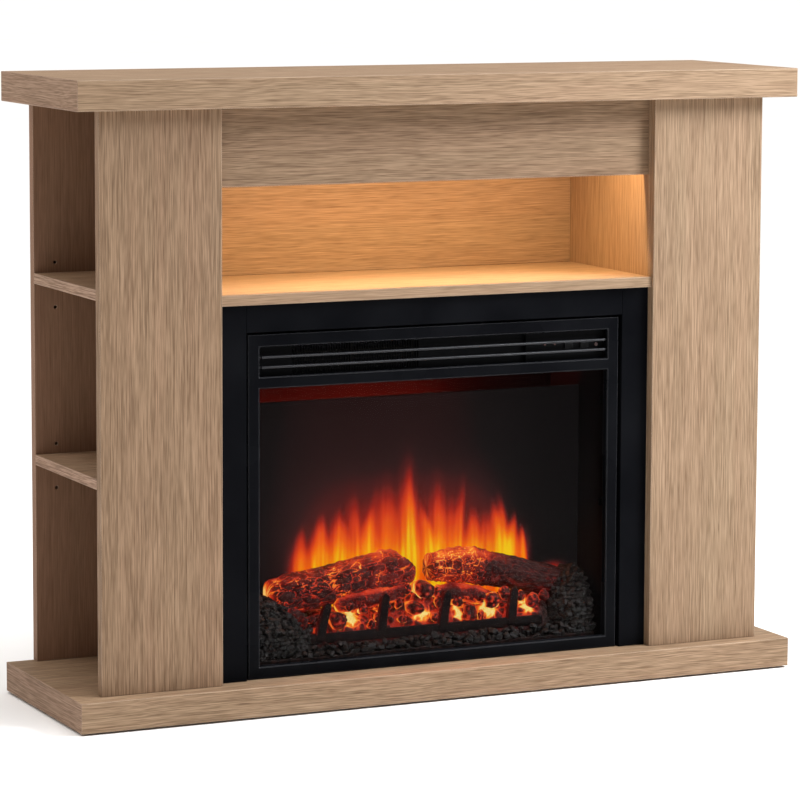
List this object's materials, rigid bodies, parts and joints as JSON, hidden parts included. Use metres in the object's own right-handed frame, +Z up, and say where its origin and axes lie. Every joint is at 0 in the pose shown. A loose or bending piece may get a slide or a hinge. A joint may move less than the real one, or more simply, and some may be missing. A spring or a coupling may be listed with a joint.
{
  "type": "electric fireplace",
  "caption": "Freestanding oak-look mantel with open side shelves, a lit niche and a black electric log-effect fire with a fan heater.",
  "frame": {"origin": "on the floor, under the middle of the mantel's footprint", "axes": "+X to the right seen from the front, +Y to the back, +Z up"},
  "size_m": [1.12, 0.31, 0.893],
  "materials": {
    "oak_veneer": "oak wood grain veneer, satin",
    "raw_board": "unfaced fibreboard",
    "beech": "plain turned beech",
    "black_board": "black satin faced board",
    "black_steel": "black satin powder coat",
    "heat_steel": "matt heat resistant black",
    "galvanised": "zinc plated sheet",
    "screw_steel": "zinc plated",
    "aluminium": "satin anodised",
    "circuit_board": "green solder mask",
    "diffuser": "milky, lit warm white from behind, emissive",
    "glass": "clear tempered, slightly smoked",
    "flame_screen": "smoked translucent sheet, emissive flame picture",
    "glowing_bed": "translucent moulding, lit from below, emissive",
    "log_resin": "charred bark moulding with glowing cracks, emissive",
    "coal": "loose black lumps, matt",
    "black_plastic": "fine grain moulding",
    "grey_plastic": "fine grain moulding",
    "lamp_lens": "clear tinted",
    "mica": "mica card with bright heating rods",
    "sintered_bronze": "oil filled sintered bush",
    "glide_plastic": "hard white plastic"
  },
  "bodies": {
    "mantel": {"assembly_dowels": "beech", "assembly_screws": "screw_steel", "base_panel": "oak_veneer", "blower_housing": "galvanised", "blower_motor": "screw_steel", "coal_lumps": "coal", "control_board": "circuit_board", "control_panel": "black_plastic", "cord_gland": "black_plastic", "ember_bed": "glowing_bed", "fire_grate": "black_steel", "flame_screen": "flame_screen", "floor_glides": "glide_plastic", "front_glass": "glass", "front_logs": "log_resin", "glass_clips": "galvanised", "header_panel": "oak_veneer", "heater_deck": "heat_steel", "heater_duct": "galvanised", "heater_element": "mica", "insert_bezel": "black_steel", "insert_brackets": "galvanised", "insert_casing": "heat_steel", "insert_feet": "black_plastic", "insert_rear_cover": "galvanised", "led_boards": "circuit_board", "led_diffuser": "diffuser", "led_profile": "aluminium", "led_strip": "circuit_board", "left_back_panel": "oak_veneer", "left_inner_wall": "oak_veneer", "left_pilaster": "oak_veneer", "left_trim": "black_board", "louvre_bars": "black_steel", "niche_back_panel": "oak_veneer", "niche_shelf": "oak_veneer", "outlet_guard": "black_steel", "panel_lenses": "lamp_lens", "rear_logs": "log_resin", "right_back_panel": "oak_veneer", "right_inner_wall": "oak_veneer", "right_pilaster": "oak_veneer", "right_trim": "black_board", "shaft_bushes": "sintered_bronze", "shelf_pins": "screw_steel", "slab_core_ribs": "raw_board", "slab_undersides": "raw_board", "spindle_motor": "screw_steel", "thermal_cutout": "grey_plastic", "top_panel": "oak_veneer", "top_trim": "black_board", "wall_brackets": "galvanised"},
    "blower_wheel": {"blower_wheel": "grey_plastic"},
    "flicker_spindle": {"flicker_spindle": "galvanised"},
    "power_rocker": {"power_rocker": "black_plastic"},
    "heat_rocker": {"heat_rocker": "black_plastic"},
    "left_upper_shelf": {"left_upper_shelf": "oak_veneer"},
    "left_lower_shelf": {"left_lower_shelf": "oak_veneer"},
    "right_upper_shelf": {"right_upper_shelf": "oak_veneer"},
    "right_lower_shelf": {"right_lower_shelf": "oak_veneer"}
  },
  "joints": [
    {"name": "blower_spin", "type": "hinge", "parent": "mantel", "child": "blower_wheel", "pos_m": [-0.119, 0.015, 0.495], "axis": [1, 0, 0], "continuous": true},
    {"name": "flicker_spin", "type": "hinge", "parent": "mantel", "child": "flicker_spindle", "pos_m": [0, 0.045, 0.105], "axis": [1, 0, 0], "continuous": true},
    {"name": "power_rocker_tilt", "type": "hinge", "parent": "mantel", "child": "power_rocker", "pos_m": [0.2175, -0.0885, 0.4933], "axis": [0, 0, 1], "range_deg": [-6, 6]},
    {"name": "heat_rocker_tilt", "type": "hinge", "parent": "mantel", "child": "heat_rocker", "pos_m": [0.243, -0.0885, 0.4933], "axis": [0, 0, 1], "range_deg": [-6, 6]},
    {"name": "left_upper_shelf_pull", "type": "slide", "parent": "mantel", "child": "left_upper_shelf", "axis": [-1, 0, 0], "range_m": [0, 0.17]},
    {"name": "left_lower_shelf_pull", "type": "slide", "parent": "mantel", "child": "left_lower_shelf", "axis": [-1, 0, 0], "range_m": [0, 0.17]},
    {"name": "right_upper_shelf_pull", "type": "slide", "parent": "mantel", "child": "right_upper_shelf", "axis": [1, 0, 0], "range_m": [0, 0.17]},
    {"name": "right_lower_shelf_pull", "type": "slide", "parent": "mantel", "child": "right_lower_shelf", "axis": [1, 0, 0], "range_m": [0, 0.17]}
  ]
}
